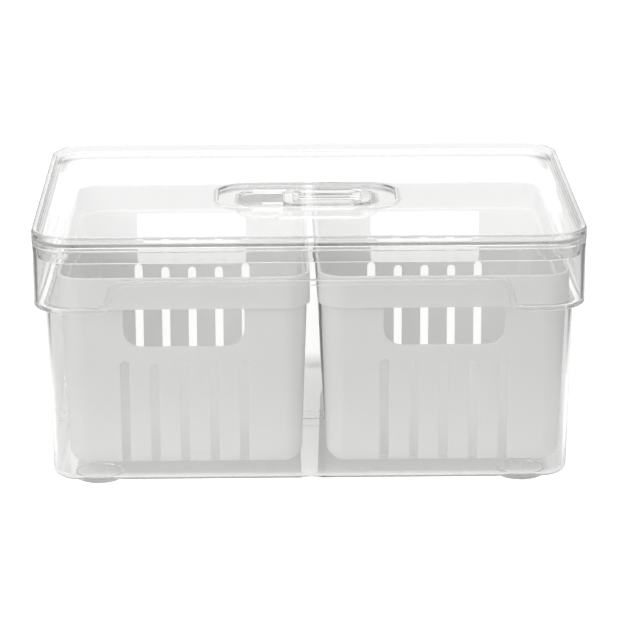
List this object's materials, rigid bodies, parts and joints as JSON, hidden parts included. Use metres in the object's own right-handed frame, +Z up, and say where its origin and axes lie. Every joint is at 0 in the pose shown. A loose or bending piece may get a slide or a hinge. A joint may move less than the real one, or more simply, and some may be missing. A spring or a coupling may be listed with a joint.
{
  "type": "fridge organizer with basket",
  "caption": "Clear lidded fridge bin that holds white draining baskets side by side, with finger grips under a raised ledge and a sliding vent in the lid.",
  "frame": {"origin": "centre of the footprint, on the plane under the feet", "axes": "+X along the long side to the right as seen from the front, +Y to the back, +Z up"},
  "size_m": [0.32, 0.242, 0.1515],
  "materials": {
    "clear_bin": "clear, polished",
    "clear_lid": "clear, polished",
    "clear_slider": "clear, polished",
    "white_basket": "moulded, semi-matt"
  },
  "bodies": {
    "bin": {"bin": "clear_bin", "basket_left": "white_basket", "basket_right": "white_basket"},
    "lid": {"lid": "clear_lid"},
    "vent_slider": {"vent_slider": "clear_slider"}
  },
  "joints": [
    {"name": "lid_lift", "type": "slide", "parent": "bin", "child": "lid", "axis": [0, 0, 1], "range_m": [0, 0.16]},
    {"name": "vent_slide", "type": "slide", "parent": "lid", "child": "vent_slider", "axis": [1, 0, 0], "range_m": [-0.022, 0]}
  ]
}
